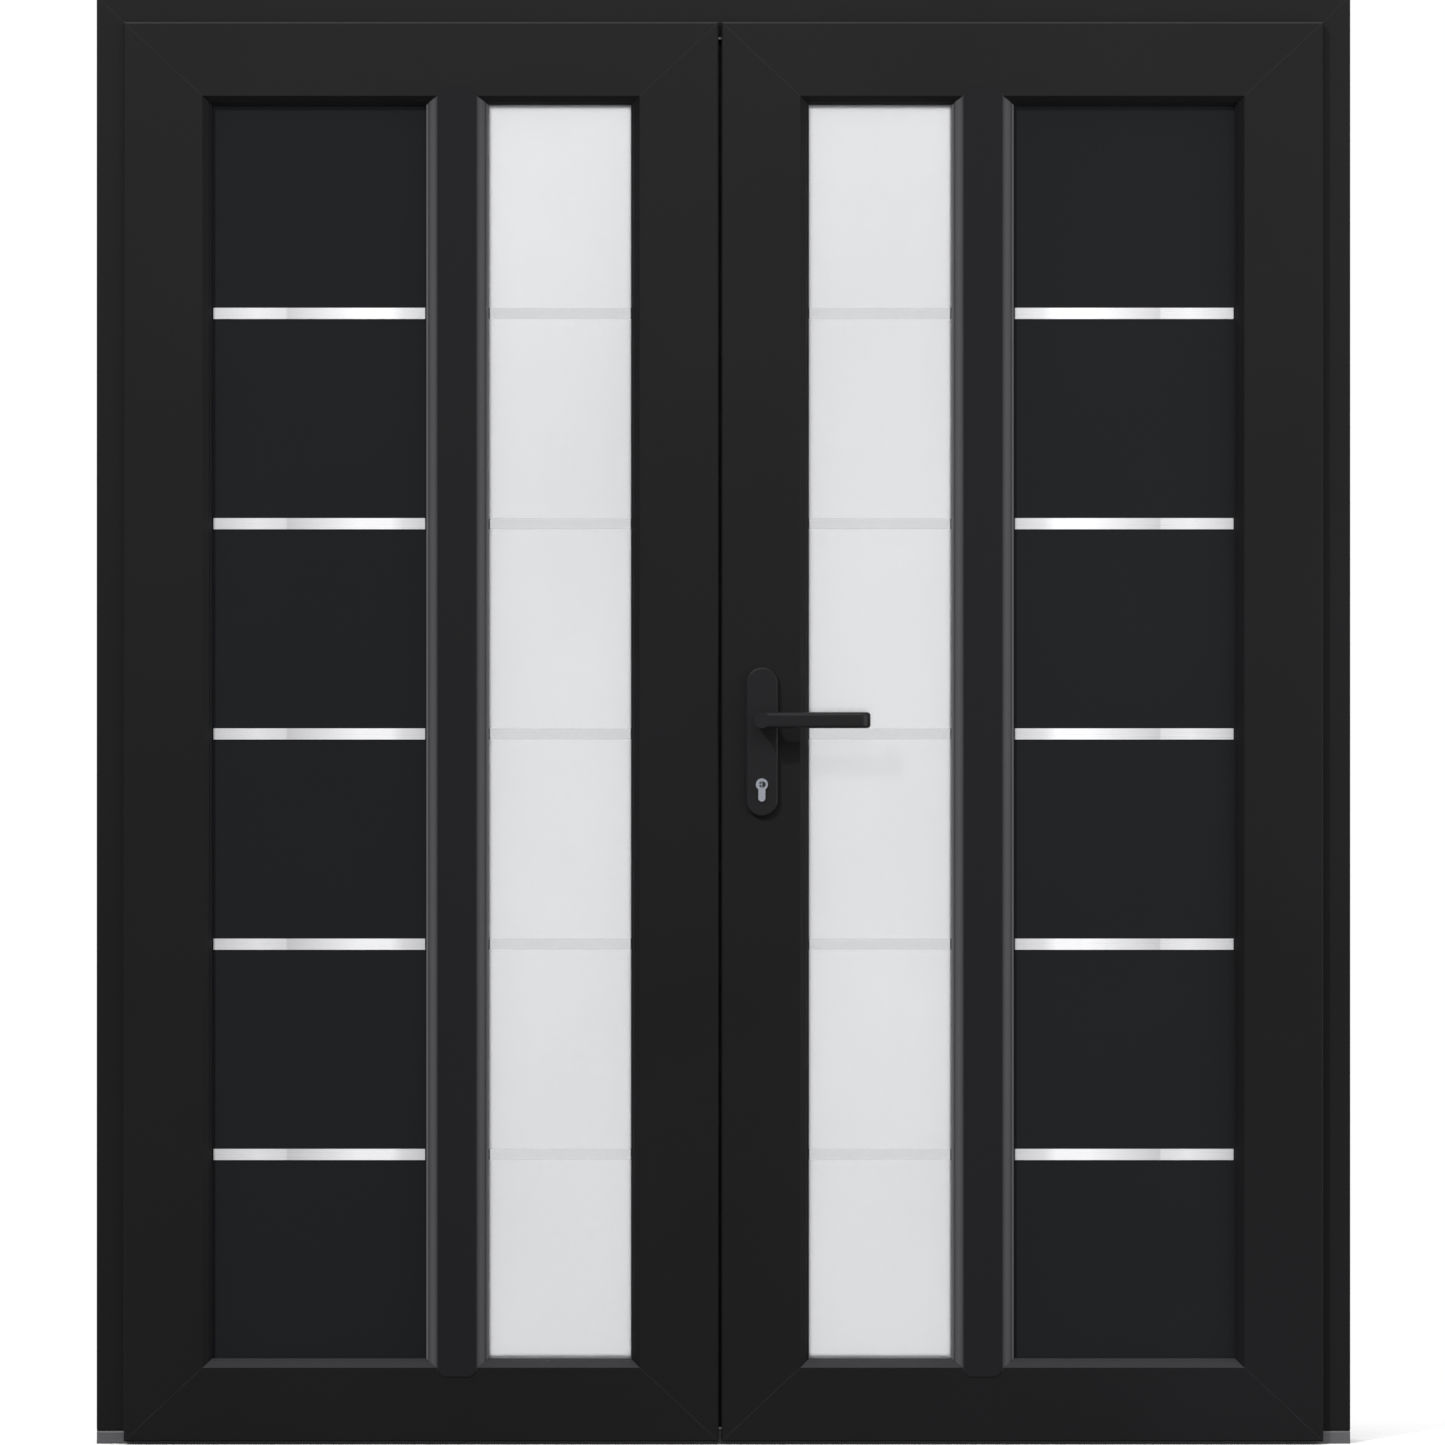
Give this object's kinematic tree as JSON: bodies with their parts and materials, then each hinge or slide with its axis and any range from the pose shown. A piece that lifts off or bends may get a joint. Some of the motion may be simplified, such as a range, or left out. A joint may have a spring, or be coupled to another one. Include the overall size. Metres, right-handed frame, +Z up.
{
  "type": "double entry door",
  "caption": "Double entry door in its frame, with a threshold: mitred hollow profiles, panels with steel strips, tall frosted glass, a lever lock and flush bolts.",
  "frame": {"origin": "middle of the threshold's underside, halfway through the frame's depth", "axes": "+Z up, +X to the right seen from outside, -Y the outside, where both leaves swing out"},
  "size_m": [1.8, 0.186, 2.08],
  "materials": {
    "frame_profile": "satin anthracite",
    "leaf_profile": "satin anthracite",
    "panel": "satin anthracite",
    "threshold": "anodised",
    "strip": "brushed",
    "frosted_glass": "frosted, with clear stripes",
    "clear_glass": "clear",
    "spacer": "matt",
    "seal": "matt",
    "brush": "fibre pile",
    "hinge": "satin",
    "plain_steel": "zinc plated",
    "handle": "satin anthracite",
    "cylinder": "satin nickel"
  },
  "bodies": {
    "frame": {"frame_jamb_left": "frame_profile", "frame_jamb_right": "frame_profile", "frame_head": "frame_profile", "threshold": "threshold", "frame_stop_seal": "seal", "head_keeper": "plain_steel", "threshold_keeper": "plain_steel", "left_hinge_frame_plates": "hinge", "right_hinge_frame_plates": "hinge"},
    "left_leaf": {"left_hinge_stile": "leaf_profile", "left_meeting_stile": "leaf_profile", "left_top_rail": "leaf_profile", "left_bottom_rail": "leaf_profile", "left_mullion": "leaf_profile", "left_panel_beads": "leaf_profile", "left_glass_beads": "leaf_profile", "left_panel": "panel", "left_panel_strips": "strip", "left_outer_pane": "frosted_glass", "left_inner_pane": "clear_glass", "left_glass_spacer": "spacer", "left_glazing_seals": "seal", "left_meeting_seal": "seal", "left_bottom_brush": "brush", "left_hinge_leaf_plates": "hinge", "left_faceplate": "plain_steel"},
    "right_leaf": {"right_hinge_stile": "leaf_profile", "right_meeting_stile": "leaf_profile", "right_top_rail": "leaf_profile", "right_bottom_rail": "leaf_profile", "right_mullion": "leaf_profile", "right_panel_beads": "leaf_profile", "right_glass_beads": "leaf_profile", "right_panel": "panel", "right_panel_strips": "strip", "right_outer_pane": "frosted_glass", "right_inner_pane": "clear_glass", "right_glass_spacer": "spacer", "right_glazing_seals": "seal", "right_meeting_seal": "seal", "right_bottom_brush": "brush", "right_hinge_leaf_plates": "hinge", "right_faceplate": "plain_steel", "lock_case": "plain_steel", "lock_cylinder": "cylinder", "outside_escutcheon": "handle", "inside_escutcheon": "handle"},
    "handle": {"outside_lever": "handle", "inside_lever": "handle", "spindle": "plain_steel", "lock_follower": "plain_steel"},
    "latch": {"latch_bolt": "plain_steel"},
    "lock_core": {"key_plug": "cylinder", "lock_cam": "plain_steel", "thumb_turn": "handle"},
    "deadbolt_body": {"deadbolt": "plain_steel"},
    "head_bolt": {"head_flush_bolt": "plain_steel"},
    "threshold_bolt": {"threshold_flush_bolt": "plain_steel"}
  },
  "joints": [
    {"name": "left_leaf_swing", "type": "hinge", "parent": "frame", "child": "left_leaf", "pos_m": [-0.855, -0.041, 0], "axis": [0, 0, -1], "range_deg": [0, 90]},
    {"name": "right_leaf_swing", "type": "hinge", "parent": "frame", "child": "right_leaf", "pos_m": [0.855, -0.041, 0], "axis": [0, 0, 1], "range_deg": [0, 90]},
    {"name": "lever_turn", "type": "hinge", "parent": "right_leaf", "child": "handle", "pos_m": [0.055, -0.018, 1.039], "axis": [0, 1, 0], "range_deg": [0, 40], "stiffness_Nm_per_rad": 2, "springref_deg": -17.19},
    {"name": "latch_slide", "type": "slide", "parent": "right_leaf", "child": "latch", "axis": [1, 0, 0], "range_m": [0, 0.011]},
    {"name": "key_turn", "type": "hinge", "parent": "right_leaf", "child": "lock_core", "pos_m": [0.055, -0.018, 0.947], "axis": [0, 1, 0], "range_deg": [0, 360]},
    {"name": "deadbolt_slide", "type": "slide", "parent": "right_leaf", "child": "deadbolt_body", "axis": [-1, 0, 0], "range_m": [0, 0.02]},
    {"name": "head_bolt_slide", "type": "slide", "parent": "left_leaf", "child": "head_bolt", "axis": [0, 0, -1], "range_m": [0, 0.025]},
    {"name": "threshold_bolt_slide", "type": "slide", "parent": "left_leaf", "child": "threshold_bolt", "axis": [0, 0, 1], "range_m": [0, 0.018]}
  ],
  "couplings": [
    {"joint": "latch_slide", "follows": "lever_turn", "m_per_rad": 0.01575},
    {"joint": "key_turn", "follows": "deadbolt_slide", "rad_per_m": 314.16}
  ]
}
